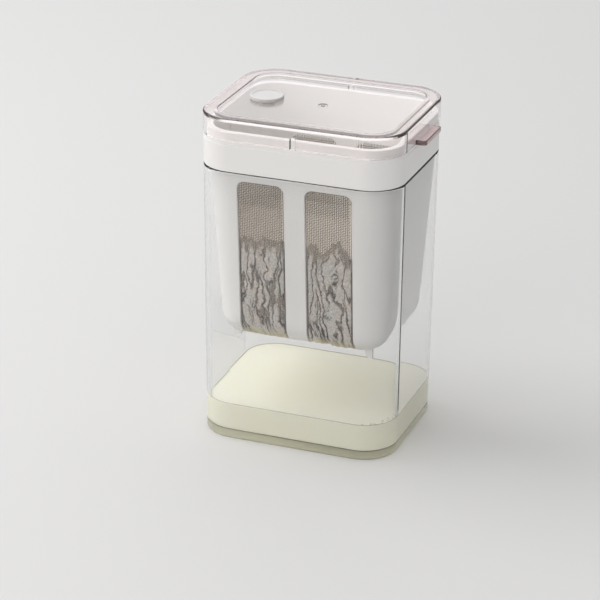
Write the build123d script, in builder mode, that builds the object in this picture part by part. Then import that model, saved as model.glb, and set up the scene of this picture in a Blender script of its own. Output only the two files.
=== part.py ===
"""Greek yoghurt strainer: a clear container, a hanging mesh basket, a clear lid and its vent plug.

The part stands on z = 0 with the origin at the middle of the container's footprint.
+X runs to the right along the wide front, +Y to the back, +Z up.  All sizes are in millimetres.
"""

from build123d import *
import os

# ---- driving dimensions -------------------------------------------------------------------
# A profile is (width, depth, corner radius) of a rounded rectangle.

# container: a tall rounded box, a little wider at the mouth than at the base
CONTAINER_HEIGHT = 171.4
MOUTH_PROFILE = (124.0, 101.9, 21.4)
BASE_PROFILE = (122.0, 100.0, 22.0)
CONTAINER_WALL = 2.5
FLOOR_THICKNESS = 4.5
BASE_EDGE_ROUND = 1.6
FLOOR_EDGE_ROUND = 3.0
RIM_EDGE_ROUND = 0.9

# collar and neck: the white band that rests on the container, and the spigot for the lid
SEAT_GAP = 0.5
COLLAR_TOP = 190.4
COLLAR_STEP_HEIGHT = 2.4
COLLAR_STEP_DEPTH = 0.3
COLLAR_EDGE_ROUND = 0.5
NECK_TOP = 195.8

# basket: hangs below the collar and tapers to a rounded bottom
BASKET_TOP_PROFILE = (117.2, 94.8, 19.0)
BASKET_BOTTOM_PROFILE = (105.0, 78.0, 17.0)
BASKET_BOTTOM = 63.0
BASKET_WALL = 2.2
BASKET_BOTTOM_ROUND = 14.0

# windows: two straight slots that run down the front, under the bottom and up the back
WINDOW_WIDTH = 29.0
WINDOW_SPACING = 42.0
WINDOW_TOP = 166.0
WINDOW_CORNER = 5.0
WINDOW_BEVEL = 0.35
MESH_RECESS = 1.5
MESH_THICKNESS = 0.5

# feet: small fins under the basket's corners, upright outside and sloped inside
FOOT_OUTER_X = 44.0
FOOT_Y = 28.0
FOOT_THICKNESS = 2.6
FOOT_TIP = 1.8
FOOT_SLOPE = 2.8
FOOT_BOTTOM = 58.2

# lid: a shallow cap with a flat rim, a sunken panel and a pull tab on the right
LID_PROFILE = (124.9, 102.8, 21.9)
LID_TOP = 204.1
LID_GAP = 0.3
LID_WALL = 2.4
LID_RIM_WIDTH = 8.6
LID_EDGE_ROUND = 1.1
PANEL_DROP = 2.0
PANEL_THICKNESS = 1.9
PANEL_EDGE_ROUND = 0.5
NECK_CLEARANCE = 0.4
SLOT_WIDTH = 3.3
SLOT_HEIGHT = 7.0
SLOT_CORNER = 0.8
RIB_X = 39.0
RIB_WIDTH = 0.9
RIB_HEIGHT = 4.5
RIB_PROUD = 0.25
TAB_WIDTH = 30.0
TAB_REACH = 6.4
TAB_THICKNESS = 2.8
TAB_CORNER = 2.2
TAB_EDGE_ROUND = 0.6
GATE_RADIUS = 2.9
GATE_DEPTH = 0.45
GATE_NUB_RADIUS = 1.1

# vent plug: a soft mushroom-shaped stopper in the panel, with a hollow stem
PLUG_X = -35.3
PLUG_LIFT = 0.3
PLUG_HEAD_RADIUS = 10.2
PLUG_HEAD_HEIGHT = 2.0
PLUG_HEAD_ROUND = 0.7
PLUG_DISH_RADIUS = 8.6
PLUG_DISH_DEPTH = 0.3
PLUG_STEM_RADIUS = 4.6
PLUG_STEM_LENGTH = 6.0
PLUG_STEM_ROUND = 0.6
PLUG_BORE_RADIUS = 2.6
PLUG_HOLE_CLEARANCE = 0.35


# ---- shared forms -------------------------------------------------------------------------


def drawn_in(profile, inset):
    """The same rounded rectangle, smaller by an inset on every side."""
    width, depth, radius = profile
    return (width - 2 * inset, depth - 2 * inset, radius - inset)


def tapered_form(low_z, low_profile, high_z, high_profile, bottom_round):
    """A draughted block between two rounded rectangles, with its bottom edge rounded."""
    with BuildPart() as form:
        with BuildSketch(Plane.XY.offset(low_z)):
            RectangleRounded(*low_profile)
        with BuildSketch(Plane.XY.offset(high_z)):
            RectangleRounded(*high_profile)
        loft()
        fillet(form.edges().group_by(Axis.Z)[0], bottom_round)
    return form.part


def basket_form(inset):
    """The basket's outside, drawn in by an inset on every side and at the bottom."""
    return tapered_form(
        BASKET_BOTTOM + inset,
        drawn_in(BASKET_BOTTOM_PROFILE, inset),
        collar_bottom,
        drawn_in(BASKET_TOP_PROFILE, inset),
        BASKET_BOTTOM_ROUND - inset,
    )


def window_prism(centre_x):
    """A prism through the basket from front to back, round-cornered at the top only."""
    height = WINDOW_TOP - FOOT_BOTTOM
    with BuildPart() as prism:
        with BuildSketch(Plane.XZ) as slot:
            with Locations((centre_x, WINDOW_TOP - height / 2)):
                Rectangle(WINDOW_WIDTH, height)
            fillet(slot.vertices().group_by(Axis.Y)[-1], WINDOW_CORNER)
        extrude(amount=MOUTH_PROFILE[1] / 2, both=True)
    return prism.part


def is_outer_window_edge(edge):
    """True for an edge of a window that lies on the basket's outside."""
    middle = edge.position_at(0.5)
    beside_window = window_inner_x - 0.01 < abs(middle.X) < window_outer_x + 0.01
    below_top = middle.Z < WINDOW_TOP + 0.01
    on_outside = any(face.distance_to(middle) < 0.01 for face in basket_skin)
    return beside_window and below_top and on_outside


def basket_foot(side):
    """One pair of feet, front and back, under the left (-1) or right (+1) corners."""
    top = BASKET_BOTTOM + BASKET_BOTTOM_ROUND / 2
    with BuildPart() as foot:
        with BuildSketch(Plane.XZ):
            with BuildLine():
                Polyline(
                    (side * FOOT_OUTER_X, top),
                    (side * FOOT_OUTER_X, FOOT_BOTTOM),
                    (side * (FOOT_OUTER_X - FOOT_TIP), FOOT_BOTTOM),
                    (side * (FOOT_OUTER_X - FOOT_TIP - FOOT_SLOPE), FOOT_BOTTOM + FOOT_SLOPE),
                    (side * (FOOT_OUTER_X - FOOT_TIP - FOOT_SLOPE), top),
                    close=True,
                )
            make_face()
        extrude(amount=FOOT_Y + FOOT_THICKNESS / 2, both=True)
        with BuildSketch(Plane.XZ):
            with Locations((side * FOOT_OUTER_X, top)):
                Rectangle(3 * (FOOT_TIP + FOOT_SLOPE), 3 * (top - FOOT_BOTTOM))
        extrude(amount=FOOT_Y - FOOT_THICKNESS / 2, both=True, mode=Mode.SUBTRACT)
    return foot.part


collar_bottom = CONTAINER_HEIGHT + SEAT_GAP
lid_bottom = COLLAR_TOP + LID_GAP
lid_inner_profile = drawn_in(LID_PROFILE, LID_WALL)
neck_profile = drawn_in(lid_inner_profile, NECK_CLEARANCE)
rim_underside = LID_TOP - LID_WALL
panel_top = LID_TOP - PANEL_DROP
panel_bottom = panel_top - PANEL_THICKNESS
pocket_profile = drawn_in(LID_PROFILE, LID_RIM_WIDTH)

container_outside = tapered_form(
    0, BASE_PROFILE, CONTAINER_HEIGHT, MOUTH_PROFILE, BASE_EDGE_ROUND
)
container_room = tapered_form(
    FLOOR_THICKNESS,
    drawn_in(BASE_PROFILE, CONTAINER_WALL),
    CONTAINER_HEIGHT,
    drawn_in(MOUTH_PROFILE, CONTAINER_WALL),
    FLOOR_EDGE_ROUND,
)
basket_outside = basket_form(0)
basket_room = basket_form(BASKET_WALL)
mesh_outside = basket_form(MESH_RECESS)
mesh_inside = basket_form(MESH_RECESS + MESH_THICKNESS)
basket_skin = basket_outside.faces().sort_by(Axis.Z)[:-1]
window_inner_x = (WINDOW_SPACING - WINDOW_WIDTH) / 2
window_outer_x = (WINDOW_SPACING + WINDOW_WIDTH) / 2
left_window = window_prism(-WINDOW_SPACING / 2)
right_window = window_prism(WINDOW_SPACING / 2)
left_feet = basket_foot(-1)
right_feet = basket_foot(1)

# ---- container ----------------------------------------------------------------------------

# An even wall between two draughted forms, with a thicker floor and a softened rim.
with BuildPart() as container:
    add(container_outside)
    add(container_room, mode=Mode.SUBTRACT)
    fillet(container.edges().group_by(Axis.Z)[-1], RIM_EDGE_ROUND)
container.part.label = "container"

# ---- strainer frame -----------------------------------------------------------------------

# The moulded basket: the collar sits on the container's rim, the neck takes the lid, and
# ribs between the windows carry the mesh.
with BuildPart() as strainer_frame:
    with BuildSketch(Plane.XY.offset(collar_bottom)):
        RectangleRounded(*MOUTH_PROFILE)
    extrude(amount=COLLAR_TOP - COLLAR_STEP_HEIGHT - collar_bottom)
    fillet(strainer_frame.edges().group_by(Axis.Z)[0], COLLAR_EDGE_ROUND)
    with BuildSketch(Plane.XY.offset(COLLAR_TOP - COLLAR_STEP_HEIGHT)):
        RectangleRounded(*drawn_in(MOUTH_PROFILE, COLLAR_STEP_DEPTH))
    extrude(amount=COLLAR_STEP_HEIGHT)
    with BuildSketch(Plane.XY.offset(COLLAR_TOP)):
        RectangleRounded(*neck_profile)
    extrude(amount=NECK_TOP - COLLAR_TOP)
    add(basket_outside)
    add(left_feet)
    add(right_feet)
    add(basket_room, mode=Mode.SUBTRACT)
    with BuildSketch(Plane.XY.offset(collar_bottom)):
        RectangleRounded(*drawn_in(BASKET_TOP_PROFILE, BASKET_WALL))
    extrude(amount=NECK_TOP - collar_bottom, mode=Mode.SUBTRACT)
    fillet(strainer_frame.edges().group_by(Axis.Z)[-1], COLLAR_EDGE_ROUND)
    add(left_window, mode=Mode.SUBTRACT)
    add(right_window, mode=Mode.SUBTRACT)
    chamfer(strainer_frame.edges().filter_by(is_outer_window_edge), WINDOW_BEVEL)
strainer_frame.part.label = "strainer_frame"

# ---- mesh strips --------------------------------------------------------------------------

# Each strip lies near the inside of the basket's wall and fills one window edge to edge.
with BuildPart() as mesh_left:
    add(mesh_outside)
    add(mesh_inside, mode=Mode.SUBTRACT)
    add(left_window, mode=Mode.INTERSECT)
mesh_left.part.label = "mesh_left"

with BuildPart() as mesh_right:
    add(mesh_outside)
    add(mesh_inside, mode=Mode.SUBTRACT)
    add(right_window, mode=Mode.INTERSECT)
mesh_right.part.label = "mesh_right"

# ---- lid ----------------------------------------------------------------------------------

with BuildPart() as lid:
    with BuildSketch(Plane.XY.offset(lid_bottom)):
        RectangleRounded(*LID_PROFILE)
    extrude(amount=LID_TOP - lid_bottom)
    fillet(lid.edges().group_by(Axis.Z)[-1], LID_EDGE_ROUND)

    # the hollow under the rim, and the panel that hangs a little lower inside it
    with BuildSketch(Plane.XY.offset(lid_bottom)):
        RectangleRounded(*lid_inner_profile)
    extrude(amount=rim_underside - lid_bottom, mode=Mode.SUBTRACT)
    with BuildSketch(Plane.XY.offset(panel_bottom)):
        RectangleRounded(*drawn_in(pocket_profile, -PANEL_THICKNESS))
    extrude(amount=rim_underside - panel_bottom)
    with BuildSketch(Plane.XY.offset(panel_top)):
        RectangleRounded(*pocket_profile)
    extrude(amount=PANEL_DROP, mode=Mode.SUBTRACT)
    pocket_edges = lid.edges().filter_by(
        lambda edge: abs(edge.center().Z - LID_TOP) < 0.01
        and abs(edge.center().X) < pocket_profile[0] / 2 + 0.1
        and abs(edge.center().Y) < pocket_profile[1] / 2 + 0.1
    )
    fillet(pocket_edges, PANEL_EDGE_ROUND)

    # the pull tab, level with the bottom of the skirt
    with BuildSketch(Plane.XY.offset(lid_bottom)) as tab:
        with Locations((LID_PROFILE[0] / 2 + (TAB_REACH - LID_WALL) / 2, 0)):
            Rectangle(TAB_REACH + LID_WALL, TAB_WIDTH)
        fillet(tab.vertices().group_by(Axis.X)[-1], TAB_CORNER)
    extrude(amount=TAB_THICKNESS)
    tab_edges = lid.edges().filter_by(
        lambda edge: edge.center().X > LID_PROFILE[0] / 2 + 0.5
        and edge.center().Z > lid_bottom + TAB_THICKNESS - 0.01
    )
    fillet(tab_edges, TAB_EDGE_ROUND)

    # a relief slot in the middle of the front and back skirt
    with BuildSketch(Plane.XZ) as slot:
        with Locations((0, lid_bottom + SLOT_HEIGHT / 2)):
            Rectangle(SLOT_WIDTH, SLOT_HEIGHT)
        fillet(slot.vertices().group_by(Axis.Y)[-1], SLOT_CORNER)
    extrude(amount=LID_PROFILE[1], both=True, mode=Mode.SUBTRACT)

    # light ribs inside the skirt, just under the rim
    for side in (-1, 1):
        with BuildSketch(Plane.XY.offset(rim_underside - RIB_HEIGHT)):
            with Locations(
                (-RIB_X, side * (lid_inner_profile[1] / 2)),
                (RIB_X, side * (lid_inner_profile[1] / 2)),
            ):
                Rectangle(RIB_WIDTH, 2 * RIB_PROUD)
        extrude(amount=RIB_HEIGHT)

    # the vent hole, and the moulding's gate mark in the middle of the panel
    with BuildSketch(Plane.XY.offset(panel_bottom)):
        with Locations((PLUG_X, 0)):
            Circle(PLUG_STEM_RADIUS + PLUG_HOLE_CLEARANCE)
    extrude(amount=PANEL_THICKNESS, mode=Mode.SUBTRACT)
    with BuildSketch(Plane.XY.offset(panel_top - GATE_DEPTH)):
        Circle(GATE_RADIUS)
        Circle(GATE_NUB_RADIUS, mode=Mode.SUBTRACT)
    extrude(amount=GATE_DEPTH, mode=Mode.SUBTRACT)
lid.part.label = "lid"

# ---- vent plug ----------------------------------------------------------------------------

# Turned about its own axis: a dished head over a hollow stem, all edges softened.
with BuildPart() as vent_plug:
    with BuildSketch(Plane.XY.offset(panel_top + PLUG_LIFT)):
        with Locations((PLUG_X, 0)):
            Circle(PLUG_HEAD_RADIUS)
    extrude(amount=PLUG_HEAD_HEIGHT)
    fillet(vent_plug.edges().group_by(Axis.Z)[-1], PLUG_HEAD_ROUND)
    with BuildSketch(Plane.XY.offset(panel_top + PLUG_LIFT + PLUG_HEAD_HEIGHT)):
        with Locations((PLUG_X, 0)):
            Circle(PLUG_DISH_RADIUS)
    extrude(amount=-PLUG_DISH_DEPTH, mode=Mode.SUBTRACT)
    with BuildSketch(Plane.XY.offset(panel_top + PLUG_LIFT - PLUG_STEM_LENGTH)):
        with Locations((PLUG_X, 0)):
            Circle(PLUG_STEM_RADIUS)
    extrude(amount=PLUG_STEM_LENGTH)
    fillet(vent_plug.edges().group_by(Axis.Z)[0], PLUG_STEM_ROUND)
    with BuildSketch(Plane.XY.offset(panel_top + PLUG_LIFT - PLUG_STEM_LENGTH)):
        with Locations((PLUG_X, 0)):
            Circle(PLUG_BORE_RADIUS)
    extrude(amount=PLUG_STEM_LENGTH, mode=Mode.SUBTRACT)
vent_plug.part.label = "vent_plug"

# ---- one STEP file for each piece ---------------------------------------------------------

os.makedirs("parts", exist_ok=True)
export_step(container.part, "parts/container.step")
export_step(strainer_frame.part, "parts/strainer_frame.step")
export_step(mesh_left.part, "parts/mesh_left.step")
export_step(mesh_right.part, "parts/mesh_right.step")
export_step(lid.part, "parts/lid.step")
export_step(vent_plug.part, "parts/vent_plug.step")
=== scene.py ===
# %% [markdown]
# # A yoghurt strainer
#
# A clear box catches the whey, and a white basket with windows of woven steel hangs in its
# mouth. A clear lid with a soft vent plug closes the basket. The hard parts arrive as a packed
# CAD model, so this lesson gives them their finishes and builds what CAD leaves plain: the
# woven mesh, the curd behind it and the whey in the bottom.

import math
import random

import bmesh
import bpy
import numpy as np
from mathutils import Matrix, Vector, noise


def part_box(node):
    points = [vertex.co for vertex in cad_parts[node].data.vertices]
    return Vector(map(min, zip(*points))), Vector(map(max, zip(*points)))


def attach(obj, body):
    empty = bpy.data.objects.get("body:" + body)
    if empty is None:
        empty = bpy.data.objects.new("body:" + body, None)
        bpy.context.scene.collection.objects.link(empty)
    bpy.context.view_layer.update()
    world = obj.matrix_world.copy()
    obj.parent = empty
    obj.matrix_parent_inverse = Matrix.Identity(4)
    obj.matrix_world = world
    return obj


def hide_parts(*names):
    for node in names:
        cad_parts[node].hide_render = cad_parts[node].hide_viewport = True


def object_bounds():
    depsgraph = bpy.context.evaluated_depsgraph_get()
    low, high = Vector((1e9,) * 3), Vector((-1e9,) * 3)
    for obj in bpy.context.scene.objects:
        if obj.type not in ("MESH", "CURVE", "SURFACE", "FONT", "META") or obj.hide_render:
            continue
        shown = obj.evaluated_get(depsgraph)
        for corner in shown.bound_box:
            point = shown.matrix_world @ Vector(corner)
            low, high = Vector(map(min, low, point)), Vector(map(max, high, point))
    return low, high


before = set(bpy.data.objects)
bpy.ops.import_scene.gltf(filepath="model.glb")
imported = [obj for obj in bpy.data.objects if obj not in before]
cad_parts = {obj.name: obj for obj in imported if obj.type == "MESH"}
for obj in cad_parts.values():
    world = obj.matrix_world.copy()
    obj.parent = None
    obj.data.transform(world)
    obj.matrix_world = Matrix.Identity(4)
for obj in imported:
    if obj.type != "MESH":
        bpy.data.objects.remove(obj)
cad_low, cad_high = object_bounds()
MM = 0.001
print("nodes:", sorted(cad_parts))
print("size in mm:", [round(side / MM, 1) for side in cad_high - cad_low])

# %% [markdown]
# ## Small helpers
#
# Modelling by hand is a loop of three things: select what matters, run an operator, look at the
# result. The helpers below do the selecting, because an operator acts on everything that is
# selected, and the loaded parts start out selected.

# %% Selecting and shaping helpers


def deselect_all():
    """Leaves edit mode and deselects every object."""
    if bpy.context.object and bpy.context.object.mode == "EDIT":
        bpy.ops.object.mode_set(mode="OBJECT")
    bpy.ops.object.select_all(action="DESELECT")


def take(piece):
    """Makes one object the only selected one, and the active one."""
    deselect_all()
    piece.select_set(True)
    bpy.context.view_layer.objects.active = piece


def pick(kind, test):
    """In edit mode, selects just the VERT, EDGE or FACE elements that pass a test."""
    bpy.ops.mesh.select_mode(type=kind)
    bpy.ops.mesh.select_all(action="DESELECT")
    shape = bmesh.from_edit_mesh(bpy.context.object.data)
    elements = {"VERT": shape.verts, "EDGE": shape.edges, "FACE": shape.faces}[kind]
    for element in elements:
        if test(element):
            element.select_set(True)
    bmesh.update_edit_mesh(bpy.context.object.data)


def settle(piece, name):
    """Applies the object's own place, turn and scale, and names the object and its mesh."""
    take(piece)
    bpy.ops.object.transform_apply(location=True, rotation=True, scale=True)
    piece.name = name
    piece.data.name = name


def triangles(piece):
    """How many triangles a piece's mesh makes."""
    return sum(len(face.vertices) - 2 for face in piece.data.polygons)


# %% [markdown]
# ## Material helpers
#
# Every finish starts from what the real surface is. Colours are written as the hex values that
# a screen shows, and one function turns them into the linear light that the renderer uses.

# %% Colour and node helpers


def colour(hex_code):
    """Linear RGBA from an sRGB hex colour such as "#E4E2DE"."""
    channels = [int(hex_code[i : i + 2], 16) / 255 for i in (1, 3, 5)]
    linear = [c / 12.92 if c <= 0.04045 else ((c + 0.055) / 1.055) ** 2.4 for c in channels]
    return (*linear, 1.0)


def add_node(tree, kind, inputs=None, **settings):
    """Adds a shader node with its settings, and gives its inputs values or links."""
    node = tree.nodes.new(kind)
    for name, value in settings.items():
        setattr(node, name, value)
    for name, value in (inputs or {}).items():
        if isinstance(value, bpy.types.NodeSocket):
            tree.links.new(value, node.inputs[name])
        else:
            node.inputs[name].default_value = value
    return node


def new_material(name):
    """A material with a Principled shader: returns it, its node tree and the shader."""
    material = bpy.data.materials.new(name)
    material.use_nodes = True
    tree = material.node_tree
    return material, tree, tree.nodes["Principled BSDF"]


def let_lamps_through(tree, shader, tint):
    """Lets lamp light pass straight through a clear wall, as thin clear plastic does."""
    path = add_node(tree, "ShaderNodeLightPath")
    open_shader = add_node(tree, "ShaderNodeBsdfTransparent", {"Color": colour(tint)})
    mix = add_node(
        tree,
        "ShaderNodeMixShader",
        {0: path.outputs["Is Shadow Ray"], 1: shader.outputs[0], 2: open_shader.outputs[0]},
    )
    tree.links.new(mix.outputs[0], tree.nodes["Material Output"].inputs["Surface"])


def finish(piece, material):
    """Gives a whole piece one material."""
    piece.data.materials.clear()
    piece.data.materials.append(material)
    print(material.name, "on", piece.name)


# %% [markdown]
# ## Pattern helpers
#
# A pattern needs three things: a place to measure from, a rule, and a way to turn the rule's
# number into a colour. The helpers below make one of each. A noise pattern is asked for by the
# real size of its spots, because Blender's own scale counts spots to the metre.

# %% Place, spots, ramps and depth


def object_place(tree):
    """The point being shaded in the object's own frame: a vector and its separate X, Y, Z."""
    place = add_node(tree, "ShaderNodeTexCoord").outputs["Object"]
    return place, add_node(tree, "ShaderNodeSeparateXYZ", {"Vector": place}).outputs


def spots(tree, place, size, detail):
    """Random spots of a real size in metres, as a number from 0 to 1."""
    inputs = {"Vector": place, "Scale": 1 / size, "Detail": detail}
    return add_node(tree, "ShaderNodeTexNoise", inputs).outputs["Fac"]


def bumpy(tree, shader, height, strength, depth):
    """Tilts the shading by a height pattern that is so many metres deep."""
    inputs = {"Height": height, "Strength": strength, "Distance": depth}
    bump = add_node(tree, "ShaderNodeBump", inputs)
    tree.links.new(bump.outputs[0], shader.inputs["Normal"])


def climb(tree, value, start, full, most=1.0):
    """0 where the value is at start, and most where it is at full."""
    inputs = {"Value": value, "From Min": start, "From Max": full, "To Max": most}
    return add_node(tree, "ShaderNodeMapRange", inputs).outputs["Result"]


def ramp(tree, value, stops, steps=False):
    """Turns a number into a colour through (position, hex colour) stops."""
    node = add_node(tree, "ShaderNodeValToRGB", {"Fac": value})
    scale = node.color_ramp
    scale.interpolation = "CONSTANT" if steps else "LINEAR"
    scale.elements[0].position, scale.elements[1].position = stops[0][0], stops[-1][0]
    scale.elements[0].color, scale.elements[1].color = colour(stops[0][1]), colour(stops[-1][1])
    for position, hex_code in stops[1:-1]:
        scale.elements.new(position).color = colour(hex_code)
    return node.outputs["Color"]


def blend(tree, share, first, second, kind="MIX"):
    """Mixes two colours, each a hex code or a socket."""
    node = add_node(tree, "ShaderNodeMix", data_type="RGBA", blend_type=kind)
    for slot, value in ((0, share), (6, first), (7, second)):
        if isinstance(value, bpy.types.NodeSocket):
            tree.links.new(value, node.inputs[slot])
        else:
            node.inputs[slot].default_value = colour(value) if slot else value
    return node.outputs[2]


def clear_all_through(shader):
    """Makes a shader clear, polished plastic."""
    shader.inputs["Transmission Weight"].default_value = 1.0
    shader.inputs["Roughness"].default_value = 0.0
    shader.inputs["IOR"].default_value = PLASTIC_IOR


def absorb(tree, kept, density):
    """Makes the solid inside drink light: kept is what it spares of red, green and blue."""
    inputs = {"Color": (*kept, 1.0), "Density": density}
    drink = add_node(tree, "ShaderNodeVolumeAbsorption", inputs)
    tree.links.new(drink.outputs[0], tree.nodes["Material Output"].inputs["Volume"])


PLASTIC_IOR = 1.5
print("polished plastic bends light by", PLASTIC_IOR)

# %% [markdown]
# ## Camera
#
# The camera stands one and a half metres back with a long lens, so that the box keeps nearly
# upright edges. It is placed by compass and height about a point inside the container, and
# turned by under a degree, because a hand-held camera is seldom quite level.

# %% Place the camera
AZIMUTH, ELEVATION, ROLL = (math.radians(a) for a in (20.24, 22.94, 0.71))
AIM = Vector((-12.9, 0.0, 75.6)) * MM
DISTANCE = 1522.4 * MM
LENS = 149.9

toward = Vector(
    (
        -math.sin(AZIMUTH) * math.cos(ELEVATION),
        math.cos(AZIMUTH) * math.cos(ELEVATION),
        -math.sin(ELEVATION),
    )
)
camera_data = bpy.data.cameras.new("camera")
camera_data.lens = LENS
camera_data.clip_start = 0.05
camera = bpy.data.objects.new("camera", camera_data)
bpy.context.scene.collection.objects.link(camera)
camera.matrix_world = (
    Matrix.Translation(AIM - DISTANCE * toward)
    @ toward.to_track_quat("-Z", "Y").to_matrix().to_4x4()
    @ Matrix.Rotation(ROLL, 4, "Z")
)
bpy.context.scene.camera = camera
print("camera at", [round(c, 3) for c in camera.location])

# %% [markdown]
# ## Floor
#
# The strainer needs something to stand on and to throw a shadow on. A plane is enough, and it
# is wide enough to fill the view. It lies a fifth of a millimetre low, so that it never shares
# a face with the container's bottom.

# %% Lay the floor
FLOOR_SIZE = 12.0
FLOOR_DROP = 0.2 * MM
deselect_all()
bpy.ops.mesh.primitive_plane_add(size=FLOOR_SIZE, location=(0, 0, -FLOOR_DROP))
floor = bpy.context.object
settle(floor, "floor")

material, tree, shader = new_material("floor_matt_paint")
shader.inputs["Base Color"].default_value = colour("#D0CFCE")
shader.inputs["Roughness"].default_value = 0.85
finish(floor, material)

# %% [markdown]
# ## Lamps
#
# White and clear plastic look best under wide soft lamps, which give long gentle gradients
# instead of hot spots. There are three: the key from the left, a weaker fill from the front and
# a weak one from behind, so the right side falls gently into shade.

# %% Hang three soft lamps
MID_HEIGHT = cad_high.z / 2
LAMPS = (
    # name, place, size of its side, watts, tint
    ("key", (-1.2, -0.1, 1.25), 1.3, 15.5, "#FFFFFF"),
    ("fill", (-0.2, -1.6, 0.9), 1.2, 7.0, "#FFFDFA"),
    ("back", (-0.64, 1.73, 1.0), 1.6, 5.0, "#FFFFFF"),
)


def soft_lamp(name, place, size, power, tint):
    """A square area lamp that faces the middle of the strainer."""
    data = bpy.data.lights.new(name, "AREA")
    data.shape = "SQUARE"
    data.size = size
    data.energy = power
    data.color = colour(tint)[:3]
    lamp = bpy.data.objects.new(name, data)
    bpy.context.scene.collection.objects.link(lamp)
    direction = Vector((0, 0, MID_HEIGHT)) - Vector(place)
    turn = direction.to_track_quat("-Z", "Y").to_matrix().to_4x4()
    lamp.matrix_world = Matrix.Translation(place) @ turn
    print(name, "lamp,", power, "W")


for lamp_row in LAMPS:
    soft_lamp(*lamp_row)

# %% [markdown]
# ## Sky
#
# Clear plastic shows nothing but what stands round it. The sky could be one flat white, but then
# the edges would vanish, so it runs from grey below the horizon to white above, which gives the
# plastic something dark and something bright to bend.

# %% Paint the sky
SKY_STRENGTH, SKY_WHITE_FROM = 0.85, 0.6
world = bpy.data.worlds.new("studio")
world.use_nodes = True
tree = world.node_tree
direction = add_node(tree, "ShaderNodeTexCoord").outputs["Generated"]
height = add_node(tree, "ShaderNodeSeparateXYZ", {"Vector": direction}).outputs["Z"]
sky = ramp(tree, height, ((0.0, "#6A6765"), (SKY_WHITE_FROM, "#FAFBFC")))
tree.links.new(sky, tree.nodes["Background"].inputs["Color"])
tree.nodes["Background"].inputs["Strength"].default_value = SKY_STRENGTH
bpy.context.scene.world = world
bpy.context.scene.view_settings.view_transform = "Standard"
print("sky strength", SKY_STRENGTH)

# %% [markdown]
# ## Clear container
#
# The container is styrene-acrylonitrile, moulded against polished steel. It is clear right
# through, so nearly all of its look is refraction: bright and dark lines at the corners, at the
# rim and at the thick floor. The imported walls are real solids, so a clear shader on them bends
# light as the moulding does. A solid that drinks a trace of light greys the long paths at the
# edges. Lamp light passes straight through, because a thin wall throws almost no shadow.

# %% Container finish
material, tree, shader = new_material("clear_moulded_san")
shader.inputs["Base Color"].default_value = colour("#FEFEFE")
clear_all_through(shader)
absorb(tree, (0.15, 0.18, 0.17), 15.0)
let_lamps_through(tree, shader, "#FAFAFA")
finish(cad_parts["container"], material)

# %% [markdown]
# ## Tinted lid
#
# The lid is the same plastic with a trace of pink-grey dye, and the dye shows where light has
# gone through a lot of it. A volume that absorbs light gives that for free: the thin panel stays
# nearly clear. The solid rim and the pull tab also carry the tint at their surface, because
# their edges gather light from the whole lid. A little of the dye scatters there, which turns
# the tab's darkest lines mauve instead of black. Both are placed by measure: the rim by its
# height, the tab by how far it stands out to the right.

# %% Where the lid is thick
RIM_TINT_START, RIM_TINT_FULL = 202.4 * MM, 203.8 * MM
TAB_TINT_START, TAB_TINT_FULL = 62.6 * MM, 63.2 * MM
RIM_SHARE, DYE_SCATTER = 0.5, 0.16
material, tree, shader = new_material("tinted_moulded_san")
place, parts = object_place(tree)
on_rim = climb(tree, parts["Z"], RIM_TINT_START, RIM_TINT_FULL, RIM_SHARE)
on_tab = climb(tree, parts["X"], TAB_TINT_START, TAB_TINT_FULL)
thick = add_node(
    tree, "ShaderNodeMath", {0: on_rim, 1: on_tab}, operation="MAXIMUM"
).outputs[0]
print("the rim takes", RIM_SHARE, "of the tint and the tab all of it")

# %% [markdown]
# ## Lid finish
#
# The surface runs from nearly white on the panel to the dye's tint on the rim and tab, the solid
# drinks green and blue a little more than red, and a share of plain scattering stands in for
# the dye.

# %% Lid finish
tint = blend(tree, thick, "#FEFDFD", "#F0E4E3")
tree.links.new(tint, shader.inputs["Base Color"])
clear_all_through(shader)
absorb(tree, (0.35, 0.10, 0.15), 12.0)
scatter = add_node(tree, "ShaderNodeBsdfDiffuse", {"Color": colour("#B79C9C")})
dye_share = add_node(
    tree, "ShaderNodeMath", {0: thick, 1: DYE_SCATTER}, operation="MULTIPLY"
)
dyed = add_node(
    tree,
    "ShaderNodeMixShader",
    {0: dye_share.outputs[0], 1: shader.outputs[0], 2: scatter.outputs[0]},
)
let_lamps_through(tree, dyed, "#FBFAFA")
finish(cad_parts["lid"], material)

# %% [markdown]
# ## White basket
#
# The basket is white polypropylene. Its mould is lightly textured, so it shines softly and
# never mirrors: a middling roughness, and a grain about a quarter of a millimetre across that
# is only a few hundredths deep. The grain could be an image, but a noise pattern measured in
# millimetres has no seams and stays sharp in a close view.

# %% Basket finish
GRAIN_SIZE, GRAIN_DEPTH = 0.25 * MM, 0.05 * MM
material, tree, shader = new_material("white_moulded_polypropylene")
place, parts = object_place(tree)
bumpy(tree, shader, spots(tree, place, GRAIN_SIZE, 2.0), 0.08, GRAIN_DEPTH)
shader.inputs["Base Color"].default_value = colour("#E9E7E5")
shader.inputs["Roughness"].default_value = 0.38
shader.inputs["IOR"].default_value = 1.49
finish(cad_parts["strainer_frame"], material)

# %% [markdown]
# ## Silicone vent plug
#
# The plug is soft translucent silicone with a satin skin. Light sinks a few millimetres in
# before it comes out, which takes the hardness off its edges. Subsurface scattering does just
# that, and a small share of it is enough, because the plug still looks white.

# %% Vent plug finish
SILICONE_DEPTH = 3.0 * MM
material, tree, shader = new_material("soft_silicone")
shader.inputs["Base Color"].default_value = colour("#CECBCA")
shader.inputs["Roughness"].default_value = 0.45
shader.inputs["Subsurface Weight"].default_value = 0.3
shader.inputs["Subsurface Radius"].default_value = (SILICONE_DEPTH,) * 3
finish(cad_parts["vent_plug"], material)

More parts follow.
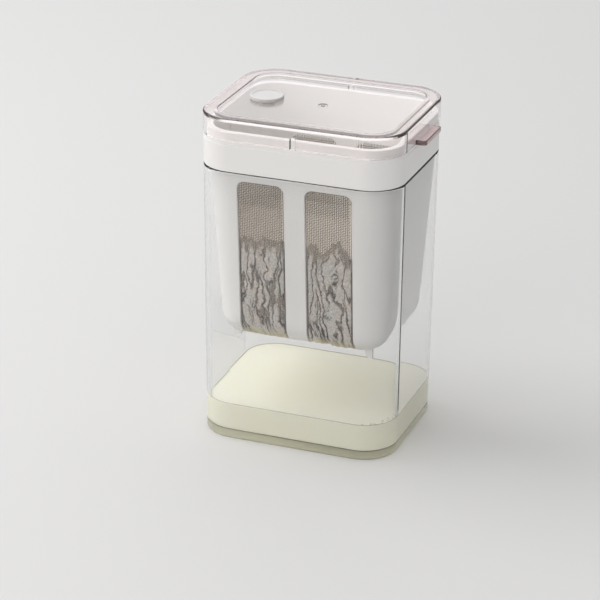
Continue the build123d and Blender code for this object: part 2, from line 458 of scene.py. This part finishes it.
# %% [markdown]
# ## Laying things round the basket
#
# The mesh runs down the front wall, round a curve, under the bottom and up the back in one
# strip. It is easier to make it flat and then lay it along that path. A flat point has u across
# the strip, s along it from the top of the front, and h, its height off the mesh.

# %% The strip's path
strip_low, strip_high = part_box("mesh_left")
MESH_THICKNESS = 0.5 * MM
WALL_LEAN = 0.0783
STRIP_CURVE = 12.25 * MM

strip_width = strip_high[0] - strip_low[0]
strip_top = strip_high[2]
strip_bottom = strip_low[2] + MESH_THICKNESS / 2
lean_angle = math.atan(WALL_LEAN)
top_y = strip_high[1] - MESH_THICKNESS / 2
bottom_y = top_y - WALL_LEAN * (strip_top - strip_bottom)
curve_y = bottom_y + WALL_LEAN * STRIP_CURVE - STRIP_CURVE / math.cos(lean_angle)
curve_z = strip_bottom + STRIP_CURVE
wall_length = (strip_top - curve_z + STRIP_CURVE * math.sin(lean_angle)) / math.cos(lean_angle)
curve_length = STRIP_CURVE * (math.pi / 2 - lean_angle)
half_length = wall_length + curve_length + curve_y
print("strip length in mm:", round(2 * half_length / MM, 1))


def lay_round(flat, centre_x):
    """Moves flat points (u, s, h) to their places along the basket's wall and bottom."""
    u, s, h = flat[:, 0], flat[:, 1], flat[:, 2]
    side = np.where(s < half_length, -1.0, 1.0)
    run = np.where(s < half_length, s, 2 * half_length - s)
    turn = np.clip((run - wall_length) / STRIP_CURVE, 0.0, math.pi / 2 - lean_angle)
    out_y = np.cos(lean_angle + turn)
    out_z = -np.sin(lean_angle + turn)
    on_wall = np.minimum(run - wall_length, 0.0)
    on_floor = np.maximum(run - wall_length - curve_length, 0.0)
    y = curve_y + STRIP_CURVE * out_y - on_wall * math.sin(lean_angle) - on_floor + h * out_y
    z = curve_z + STRIP_CURVE * out_z - on_wall * math.cos(lean_angle) + h * out_z
    return np.stack([centre_x + u, side * y, z], axis=1)


def read_points(piece):
    """A piece's vertices as an array."""
    points = np.empty(len(piece.data.vertices) * 3)
    piece.data.vertices.foreach_get("co", points)
    return points.reshape(-1, 3)


def write_points(piece, points):
    """Sets a piece's vertices from an array."""
    piece.data.vertices.foreach_set("co", points.ravel())
    piece.data.update()


# %% [markdown]
# ## Woven steel mesh
#
# The windows are plain-weave stainless cloth: each wire goes over one and under the next. How
# fine the real cloth is isn't known. Straining cloth is usually too fine to show at this size,
# so it is drawn coarser, with wires 1.1 mm apart. It could be a pattern on a plate, but real
# wires catch the light and let the eye through. One wire is a square tube with a kink up and a
# kink down.

# %% One wire of the weave
WIRES_ACROSS = 26
WIRE_SIDES = 4
pitch = strip_width / WIRES_ACROSS
wire_radius = 0.29 * pitch
wave = 0.29 * pitch
print("wires", round(pitch / MM, 2), "mm apart, each", round(2 * wire_radius / MM, 2), "mm thick")


def weave_wire(across, start_high, turned):
    """One wire of the cell, two crossings long, that passes over one wire and under the next."""
    bpy.ops.mesh.primitive_cylinder_add(
        vertices=WIRE_SIDES,
        radius=wire_radius,
        depth=2 * pitch,
        end_fill_type="NOTHING",
        rotation=(math.pi / 2, 0, 0),
    )
    wire = bpy.context.object
    settle(wire, "wire")
    bpy.ops.object.mode_set(mode="EDIT")
    bpy.ops.mesh.select_all(action="SELECT")
    bpy.ops.mesh.bisect(plane_co=(0, 0, 0), plane_no=(0, 1, 0))
    lift = wave if start_high else -wave
    pick("VERT", lambda v: abs(v.co.y) > pitch / 2)
    bpy.ops.transform.translate(value=(0, 0, lift))
    pick("VERT", lambda v: abs(v.co.y) < pitch / 2)
    bpy.ops.transform.translate(value=(0, 0, -lift))
    bpy.ops.object.mode_set(mode="OBJECT")
    wire.location = (across, pitch, 0)
    settle(wire, "wire")
    if turned:
        wire.rotation_euler = (0, 0, -math.pi / 2)
        wire.scale = (1, -1, 1)
        settle(wire, "wire")
    return wire


# %% [markdown]
# ## From four wires to a strip
#
# Two wires each way make the smallest piece of cloth that repeats. An array modifier is the
# quick way to repeat it: one across and one along. The copies touch end to end, so merging
# nearby points turns them into whole wires. The flat cloth is then laid round the basket.

# %% A strip of cloth
MERGE_WITHIN = 0.05 * pitch


def repeat(piece, label, count, step):
    """Repeats a piece in a row, each copy one step on."""
    array = piece.modifiers.new(label, "ARRAY")
    array.use_relative_offset = False
    array.use_constant_offset = True
    array.constant_offset_displace = step
    array.count = count
    bpy.ops.object.modifier_apply(modifier=array.name)


def weave_strip(name, centre_x):
    """A strip of plain weave, laid round the basket."""
    deselect_all()
    wires = [
        weave_wire(0.0, True, False),
        weave_wire(pitch, False, False),
        weave_wire(0.0, False, True),
        weave_wire(pitch, True, True),
    ]
    deselect_all()
    for wire in wires:
        wire.select_set(True)
    bpy.context.view_layer.objects.active = wires[0]
    bpy.ops.object.join()
    cloth = bpy.context.object
    rows = math.ceil(2 * half_length / (2 * pitch))
    repeat(cloth, "across", WIRES_ACROSS // 2, (2 * pitch, 0, 0))
    repeat(cloth, "along", rows, (0, 2 * half_length / rows, 0))
    bpy.ops.object.mode_set(mode="EDIT")
    bpy.ops.mesh.select_all(action="SELECT")
    bpy.ops.mesh.remove_doubles(threshold=MERGE_WITHIN)
    bpy.ops.mesh.normals_make_consistent(inside=False)
    bpy.ops.object.mode_set(mode="OBJECT")
    settle(cloth, name)
    points = read_points(cloth)
    points[:, 0] -= strip_width / 2
    write_points(cloth, lay_round(points, centre_x))
    bpy.ops.object.shade_smooth()
    print(name, triangles(cloth), "triangles")
    return cloth


# %% [markdown]
# ## Both strips of mesh
#
# Stainless wire is drawn bright and then dulls a little with washing, so it is a metal with a
# warm grey colour and a fairly tight highlight. The crowns of the wires catch the lamp and their
# flanks stay dark, which is what makes cloth look woven, so the finish itself can stay plain.

# %% Weave both strips
wire_finish, tree, shader = new_material("woven_stainless_wire")
shader.inputs["Base Color"].default_value = colour("#BFB4A7")
shader.inputs["Metallic"].default_value = 1.0
shader.inputs["Roughness"].default_value = 0.26

for name in ("mesh_left", "mesh_right"):
    low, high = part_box(name)
    cloth = weave_strip("woven_" + name, (low[0] + high[0]) / 2)
    finish(cloth, wire_finish)
    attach(cloth, "basket")
    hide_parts(name)

# %% [markdown]
# ## Curd behind the mesh
#
# Wet curd fills the lower part of the basket and presses through the windows. It dries there in
# upright folds with dark cracks between them. It could be sculpted by hand, but a rule can
# be tuned and gives the same folds each time. A flat slab is made first: its face is moved by a
# smooth random height, and a second value, how dark each point is painted, is kept as an
# attribute for the finish to read. Along the window edges that darkness is painted shade from
# the frame. Then the slab is laid round the basket like the mesh.

# %% Random helpers
# Lengths in the cells about the folds and the slab are in millimetres.


def smooth_step(low, high, value):
    """0 below low, 1 above high, and a smooth rise between them."""
    t = min(max((value - low) / (high - low), 0.0), 1.0)
    return t * t * (3 - 2 * t)


def wander(across, down, seed):
    """A smooth random number, about -1 to 1, for a place in its own spot lengths."""
    return noise.noise(Vector((across, down, seed)), noise_basis="PERLIN_ORIGINAL") * 1.6


def crack(across, down, width, seed):
    """1 along wandering upright lines and 0 away from them."""
    return 1 - smooth_step(0.0, width, abs(wander(across, down, seed)))


print("a random number:", round(wander(0.3, 0.6, 2.0), 3))

# %% [markdown]
# ## The ragged edge
#
# The curd has sunk as it drained, and it has left a ragged line on the mesh. A slow wave gives
# the line its swing and a short one its teeth.

# %% Where the curd begins
CURD_LEVEL = 36.0
EDGE_SWING, SWING_LENGTH = 5.0, 9.0
EDGE_TEETH, TEETH_LENGTH = 1.5, 2.2


def curd_edge(u, seed):
    """How far below the strip's top the curd begins, at u across."""
    swing = EDGE_SWING * wander(u / SWING_LENGTH, 0.0, seed)
    return CURD_LEVEL + swing + EDGE_TEETH * wander(u / TEETH_LENGTH, 0.5, seed)


print("curd begins", round(curd_edge(0.0, 2.0), 1), "mm below the strip's top")

# %% [markdown]
# ## The fold rule
#
# Each place on the mesh is first moved sideways by a few random drifts, from slow to fine, so
# that straight upright lines become wandering folds. Wide cracks are then cut, and fine ones in
# patches, and the curd swells a little lower down, where it is heavy. The cracks are painted
# darker. The curd thins out towards its ragged top and is painted darker where it is thin.
# Where it meets the edge of its window it turns back, and there it is painted dark as the shade
# that the window's frame casts. Each random part has a seed step of its own, so that no two
# parts follow each other.

# %% Shape of the folds
DRIFTS = (
    # sideways move, spot length across, spot length down, seed step
    (3.0, 15.0, 24.0, 2),
    (1.3, 6.0, 8.0, 3),
    (0.6, 2.2, 3.0, 7),
    (0.25, 0.9, 1.2, 8),
)
LEAN, LEAN_START, LEAN_FULL = 6.5, 72.0, 122.0
WIDE_PITCH, WIDE_LENGTH, WIDE_WIDTH, WIDE_DEPTH = 3.7, 34.0, 0.20, 1.25
FINE_PITCH, FINE_LENGTH, FINE_WIDTH, FINE_DEPTH = 1.5, 9.0, 0.30, 0.5
LOBE_PITCH, LOBE_LENGTH, LOBE_RISE = 4.5, 9.0, 0.35
GRAIN_ACROSS, GRAIN_DOWN, GRAIN_RISE = 0.7, 0.9, 0.10
SWELL, SWELL_START, SWELL_FULL = 0.7, 75.0, 105.0
SLAB_FACE, CURD_RISE, EDGE_DROP = -1.0, 2.1, 0.9
WINDOW_EDGE_START, WINDOW_EDGE_FULL = 13.0, 14.2
THIN_START, THIN_FULL, THIN_WAVE, THIN_SPOT = -1.0, 9.0, 2.0, 3.0
PATCH_ACROSS, PATCH_DOWN, PATCH_START, PATCH_FULL = 5.0, 12.0, -0.1, 0.5
FINE_CRACK_DARKNESS, THIN_CURD_DARKNESS = 0.65, 0.45


def fold_height(u, run, seed):
    """Height of the curd off the mesh and how dark it is painted, u across and run below the top.
    """
    below_edge = run - curd_edge(u, seed)
    below_edge += THIN_WAVE * wander(u / THIN_SPOT, run / THIN_SPOT, seed + 5)
    cover = smooth_step(THIN_START, THIN_FULL, below_edge)
    drift = u - LEAN * smooth_step(LEAN_START, LEAN_FULL, run)
    for move, across, down, step in DRIFTS:
        drift += move * wander(u / across, run / down, seed + step)
    wide = crack(drift / WIDE_PITCH, run / WIDE_LENGTH, WIDE_WIDTH, seed + 11)
    fine = crack(drift / FINE_PITCH, run / FINE_LENGTH, FINE_WIDTH, seed + 17)
    patch = wander(u / PATCH_ACROSS, run / PATCH_DOWN, seed + 23)
    fine *= smooth_step(PATCH_START, PATCH_FULL, patch)
    grain = GRAIN_RISE * wander(u / GRAIN_ACROSS, run / GRAIN_DOWN, seed + 31)
    lobes = LOBE_RISE * wander(drift / LOBE_PITCH, run / LOBE_LENGTH, seed + 29)
    edge = smooth_step(WINDOW_EDGE_START, WINDOW_EDGE_FULL, abs(u))
    swell = SWELL * smooth_step(SWELL_START, SWELL_FULL, run)
    rise = CURD_RISE + swell + lobes + grain
    cut = WIDE_DEPTH * wide + FINE_DEPTH * fine + (EDGE_DROP + swell) * edge
    # Darker in the cracks and where the curd is thin, and painted shade from the frame along the
    # window edge.
    darkening = max(wide, FINE_CRACK_DARKNESS * fine, edge) * cover
    darkening += THIN_CURD_DARKNESS * (1 - cover) + grain * cover
    return SLAB_FACE + cover * (rise - cut), darkening


sample_height, sample_darkening = fold_height(0.0, 90.0, 2.0)
print("90 mm down: height", round(sample_height, 2), "mm, wetness", round(sample_darkening, 2))

# %% [markdown]
# ## One slab of curd
#
# The slab is a fine grid with a flat back. Each point of its face asks the fold rule for a
# height and for how dark it is painted, which along the window edges is painted shade. The
# grid is first stretched so that its upper ends, at the front and at the back, follow the
# ragged edge of the curd, and last it is laid round the basket.

# %% Model one curd slab
ROWS, COLUMNS = 400, 84
SLAB_BACK = 1.35
SLAB_MARGIN = 0.1
SLAB_TOP = 27.0
SIDE_SEED_STEP = 20


def curd_slab(name, centre_x, seed):
    """A closed slab of curd whose face is folded, laid round the basket."""
    width = strip_width / MM - 2 * SLAB_MARGIN
    middle = half_length / MM
    deselect_all()
    bpy.ops.mesh.primitive_grid_add(x_subdivisions=COLUMNS, y_subdivisions=ROWS, size=1)
    slab = bpy.context.object
    slab.scale = (width, 2 * (middle - SLAB_TOP), 1)
    slab.location = (0, middle, 0)
    settle(slab, name)
    bpy.ops.object.mode_set(mode="EDIT")
    bpy.ops.mesh.select_all(action="SELECT")
    bpy.ops.mesh.extrude_region_move(TRANSFORM_OT_translate={"value": (0, 0, -SLAB_BACK)})
    bpy.ops.mesh.select_all(action="SELECT")
    bpy.ops.mesh.normals_make_consistent(inside=False)
    bpy.ops.object.mode_set(mode="OBJECT")
    points = read_points(slab)
    darkness_and_edge_shade = np.zeros(len(points))
    for i, (u, s, h) in enumerate(points):
        side = -1 if s < middle else 1
        side_seed = seed + SIDE_SEED_STEP * (1 + side)
        start = curd_edge(u, side_seed)
        stretch = (middle - start) / (middle - SLAB_TOP)
        run = middle - abs(s - middle) * stretch
        points[i, 1] = middle + side * (middle - run)
        if h > -SLAB_BACK / 2:
            points[i, 2], darkness_and_edge_shade[i] = fold_height(u, run, side_seed)
    attribute = slab.data.attributes.new("darkness_and_edge_shade", "FLOAT", "POINT")
    attribute.data.foreach_set("value", darkness_and_edge_shade)
    write_points(slab, lay_round(points * MM, centre_x))
    bpy.ops.object.shade_smooth()
    print(name, triangles(slab), "triangles")
    return slab


# %% [markdown]
# ## Curd on the mesh
#
# Drying curd is pale grey on its ridges and nearly black in the cracks. The attribute that the
# slab carries picks the tone along a ramp: darker in the cracks and where the curd is thin, and
# painted shade along the window edges. A fine speck breaks it up, and a slow cloud makes some
# patches cooler and some warmer. The lowest edge, where whey still drips, is cream. A fine bump
# and a low roughness give the wet glints.

# %% Curd tone
SPECK_SIZE, SPECK_DEPTH, CLOUD_SIZE = 0.9 * MM, 0.4 * MM, 11.0 * MM
SPECK_SHARE = 0.7
curd_finish, tree, shader = new_material("curd_with_painted_edge_shade")
place, parts = object_place(tree)
# The attribute read here paints the crack tone and the shade along the window edges.
darkness_and_edge_shade = add_node(tree, "ShaderNodeAttribute", attribute_name="darkness_and_edge_shade").outputs["Fac"]
speck = spots(tree, place, SPECK_SIZE, 3.0)
cloud = spots(tree, place, CLOUD_SIZE, 2.0)
speckled_darkness = add_node(
    tree, "ShaderNodeMath", {0: speck, 1: SPECK_SHARE, 2: darkness_and_edge_shade}, operation="MULTIPLY_ADD"
).outputs[0]
tone = ramp(tree, speckled_darkness, ((0.22, "#E2DEDA"), (0.55, "#A59E99"), (1.0, "#3C3430")))
warmth = ramp(tree, cloud, ((0.35, "#ECEEEC"), (0.65, "#F3ECE7")))
mottled = blend(tree, 1.0, tone, warmth, "MULTIPLY")
print("specks", SPECK_SIZE / MM, "mm and clouds", CLOUD_SIZE / MM, "mm across")

# %% [markdown]
# ## The soaked foot
#
# Whey gathers at the bottom of the windows before it drips, and it stains the curd cream there.
# The stain is placed by height, because it follows the liquid and not the folds.

# %% Cream foot and wet skin
SOAKED_START, SOAKED_FULL, SOAKED_SHARE = 72.0 * MM, 65.0 * MM, 0.85
soaked = climb(tree, parts["Z"], SOAKED_START, SOAKED_FULL, SOAKED_SHARE)
creamy = blend(tree, soaked, mottled, "#D8CFA8")
tree.links.new(creamy, shader.inputs["Base Color"])
bumpy(tree, shader, speck, 0.5, SPECK_DEPTH)
shader.inputs["Roughness"].default_value = 0.3
print(curd_finish.name, "is cream below", SOAKED_START / MM, "mm")

# %% [markdown]
# ## Both slabs
#
# The two windows get the same rule with different seeds, so no two folds match. The slabs ride
# on the basket, because the curd comes out with it.

# %% Model both slabs
for name, seed in (("left", 2.0), ("right", 9.0)):
    low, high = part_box("mesh_" + name)
    slab = curd_slab("curd_slab_" + name, (low[0] + high[0]) / 2, seed)
    finish(slab, curd_finish)
    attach(slab, "basket")

# %% [markdown]
# ## Fillings
#
# The whey and the bulk of the curd both fill a rounded box. Each starts as a cube with its
# upright edges bevelled to the box's own corner and its foot bevelled to the box's own fillet.
# That is simpler and cleaner than cutting the filling from the wall with a boolean.

# %% Model a filling
CORNER_SEGMENTS, FOOT_SEGMENTS = 28, 6
NEAR = 1.0 * MM
SMOOTH_BELOW = math.radians(50)


def filling(name, low, high, corner, floor_round, lean):
    """A block that fills a rounded box from low to high, with its bottom edge rounded."""
    deselect_all()
    bpy.ops.mesh.primitive_cube_add(size=1)
    block = bpy.context.object
    block.scale = [b - a for a, b in zip(low, high)]
    block.location = [(a + b) / 2 for a, b in zip(low, high)]
    settle(block, name)
    bpy.ops.object.mode_set(mode="EDIT")
    pick("EDGE", lambda e: abs(e.verts[0].co.z - e.verts[1].co.z) > NEAR)
    bpy.ops.mesh.bevel(offset=corner, segments=CORNER_SEGMENTS, affect="EDGES")
    pick("VERT", lambda v: v.co.z < low[2] + NEAR)
    shrink = [1 - 2 * lean[i] / (high[i] - low[i]) for i in (0, 1)]
    bpy.ops.transform.resize(value=(shrink[0], shrink[1], 1))
    pick("EDGE", lambda e: max(v.co.z for v in e.verts) < low[2] + NEAR)
    bpy.ops.mesh.bevel(offset=floor_round, segments=FOOT_SEGMENTS, affect="EDGES")
    print(name, "block in mm:", [round((b - a) / MM, 1) for a, b in zip(low, high)])
    return block


# %% [markdown]
# ## Whey
#
# Whey is the liquid that drains out of the curd, and it stands about two centimetres deep in
# the container. It overlaps the container's inside by a twelfth of a millimetre: a liquid wets
# the wall, and a film of air there would mirror instead. Its surface creeps up the wall by about
# half a millimetre, which a few insets of the top face give, each a little lower than the last.

# %% Pour the whey
WALL, INSIDE_CORNER, INSIDE_FILLET = 3.4 * MM, 19.5 * MM, 3.0 * MM
FLOOR_DEPTH, WHEY_TOP, OVERLAP = 4.5 * MM, 22.8 * MM, 0.08 * MM
WALL_DRAUGHT = (0.1 * MM, 0.1 * MM)
CREEP = ((0.3, 0.25), (0.5, 0.2), (0.9, 0.1), (3.0, 0.03))
container_low, container_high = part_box("container")
whey_half = [container_high[i] - WALL + OVERLAP for i in (0, 1)]
outside = [round((b - a) / MM, 1) for a, b in zip(container_low, container_high)]
print("container in mm:", outside)
whey = filling(
    "whey",
    (-whey_half[0], -whey_half[1], FLOOR_DEPTH - OVERLAP),
    (whey_half[0], whey_half[1], WHEY_TOP),
    INSIDE_CORNER,
    INSIDE_FILLET,
    WALL_DRAUGHT,
)
pick("FACE", lambda f: f.calc_center_median().z > WHEY_TOP - 0.1 * MM)
for inset, drop in CREEP:
    bpy.ops.mesh.inset(thickness=inset * MM)
    bpy.ops.transform.translate(value=(0, 0, -drop * MM))
settle(whey, "whey")
bpy.ops.object.shade_smooth_by_angle(angle=SMOOTH_BELOW)
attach(whey, "container")
print("whey", triangles(whey), "triangles")

# %% [markdown]
# ## Colour of the whey
#
# Whey is cloudy and faintly yellow-green. Two thin lines in it are darker. One is the creep at
# the wall, whose curve mirrors away from the lamps, and the other is the round at the floor,
# which does the same. Neither comes out of the shape and the lamps alone, so both are painted
# by height.

# %% Bands by height
FLOOR_LINE_START, FLOOR_LINE_END, SURFACE_LINE = 0.2 * MM, 1.1 * MM, 0.3 * MM
material, tree, shader = new_material("cloudy_whey")
place, parts = object_place(tree)
depth = WHEY_TOP - FLOOR_DEPTH
bands = ramp(
    tree,
    climb(tree, parts["Z"], FLOOR_DEPTH, WHEY_TOP),
    (
        (0.0, "#FBF8E9"),
        (FLOOR_LINE_START / depth, "#5C554C"),
        (FLOOR_LINE_END / depth, "#FBF8E9"),
        (1 - SURFACE_LINE / depth, "#9E9C8E"),
    ),
    steps=True,
)
tree.links.new(bands, shader.inputs["Base Color"])
print("whey is", round(depth / MM, 1), "mm deep")

# %% [markdown]
# ## Light in the whey
#
# Light goes deep into whey, so its subsurface radius is several centimetres, and a little lamp
# light goes right through. Part of the light leaves on the far side, which a translucent share
# gives: it keeps the side away from the key lamp pale, and it lights the whey's underside,
# which shows in the thick floor. A true cloudy volume would do all this and take far longer.

# %% Whey finish
ACROSS_SHARE = 0.3
shader.inputs["Roughness"].default_value = 0.12
shader.inputs["IOR"].default_value = 1.34
shader.inputs["Subsurface Weight"].default_value = 0.9
shader.inputs["Subsurface Radius"].default_value = (0.035, 0.033, 0.027)
across = add_node(tree, "ShaderNodeBsdfTranslucent", {"Color": bands})
cloudy = add_node(
    tree, "ShaderNodeMixShader", {0: ACROSS_SHARE, 1: shader.outputs[0], 2: across.outputs[0]}
)
let_lamps_through(tree, cloudy, "#F6F5EC")
finish(whey, material)

# %% [markdown]
# ## Froth
#
# Dripping whey leaves a few bubbles, and they gather where the surface meets the wall. Small
# spheres, half sunk, are enough, because a bubble this small shows only as a glint. They are
# strewn along the front right corner with a fixed seed, so they fall the same way each time.

# %% Strew the bubbles
BUBBLE_COUNT = 18
SMALLEST, LARGEST, STRAY = 0.25, 0.75, 0.9  # millimetres
BUBBLE_SINK, WALL_GAP = 0.45 * MM, 0.2 * MM
corner_x = whey_half[0] - INSIDE_CORNER
corner_y = INSIDE_CORNER - whey_half[1]
chance = random.Random(5)
deselect_all()
bubbles = []
for _ in range(BUBBLE_COUNT):
    turn = math.radians(chance.uniform(-75, 10))
    radius = chance.uniform(SMALLEST, LARGEST) * MM
    reach = INSIDE_CORNER - WALL_GAP - radius - abs(chance.gauss(0, STRAY)) * MM
    spot = (
        corner_x + reach * math.cos(turn),
        corner_y + reach * math.sin(turn),
        WHEY_TOP - BUBBLE_SINK,
    )
    bpy.ops.mesh.primitive_uv_sphere_add(
        segments=12, ring_count=8, radius=radius, location=spot
    )
    bubbles.append(bpy.context.object)
for bubble in bubbles:
    bubble.select_set(True)
bpy.ops.object.join()
froth = bpy.context.object
settle(froth, "whey_bubbles")
bpy.ops.object.shade_smooth()
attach(froth, "container")
print(BUBBLE_COUNT, "bubbles,", triangles(froth), "triangles")

# %% [markdown]
# ## Froth finish
#
# A bubble is a thin wet film. It is mostly the colour of the whey under it, with a sharp glint,
# so the finish is smooth and lets a quarter of the light through.

# %% Froth finish
material, tree, shader = new_material("clear_froth")
shader.inputs["Base Color"].default_value = colour("#F6F5EA")
shader.inputs["Roughness"].default_value = 0.05
shader.inputs["IOR"].default_value = 1.33
shader.inputs["Transmission Weight"].default_value = 0.25
finish(froth, material)

# %% [markdown]
# ## Curd in bulk
#
# Inside the basket the curd is soft and white, and it stands a little above the folds. It is a
# filling with the basket's own corners and lean. Only its top is ever seen, so only the top is
# cut fine and heaved by a slow random height.

# %% Fill the basket
CURD_FLOOR, CURD_TOP = 66.3 * MM, 125.0 * MM
CURD_HALF = (52.65 * MM, 40.5 * MM)
CURD_CORNER, CURD_FOOT_ROUND = 14.8 * MM, 10.7 * MM
CURD_LEAN = (3.25 * MM, 4.5 * MM)
TOP_INSET, TOP_RISE, TOP_CUTS = 1.5 * MM, 1.0 * MM, 7
HEAVE, HEAVE_LENGTH, HEAVE_SEED = 1.2 * MM, 13.0 * MM, 77.0
bulk = filling(
    "curd_in_bulk",
    (-CURD_HALF[0], -CURD_HALF[1], CURD_FLOOR),
    (CURD_HALF[0], CURD_HALF[1], CURD_TOP),
    CURD_CORNER,
    CURD_FOOT_ROUND,
    CURD_LEAN,
)
pick("FACE", lambda f: f.calc_center_median().z > CURD_TOP - 0.1 * MM)
bpy.ops.mesh.inset(thickness=TOP_INSET)
bpy.ops.transform.translate(value=(0, 0, TOP_RISE))
bpy.ops.mesh.poke()
bpy.ops.mesh.subdivide(number_cuts=TOP_CUTS)
settle(bulk, "curd_in_bulk")
points = read_points(bulk)
for point in points:
    if point[2] > CURD_TOP + TOP_RISE / 2:
        place = (point[0] / HEAVE_LENGTH, point[1] / HEAVE_LENGTH)
        point[2] += HEAVE * wander(*place, HEAVE_SEED)
write_points(bulk, points)
bpy.ops.object.shade_smooth_by_angle(angle=SMOOTH_BELOW)
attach(bulk, "basket")
print("curd in bulk", triangles(bulk), "triangles")

# %% [markdown]
# ## Finish of the curd in bulk
#
# Fresh curd is matt and milky. Light goes a few millimetres in and comes back warmer, which
# subsurface scattering gives: red travels furthest and blue least.

# %% White curd
material, tree, shader = new_material("white_curd")
shader.inputs["Base Color"].default_value = colour("#E9E5DC")
shader.inputs["Roughness"].default_value = 0.5
shader.inputs["Subsurface Weight"].default_value = 0.4
shader.inputs["Subsurface Radius"].default_value = (0.004, 0.0035, 0.0025)
finish(bulk, material)
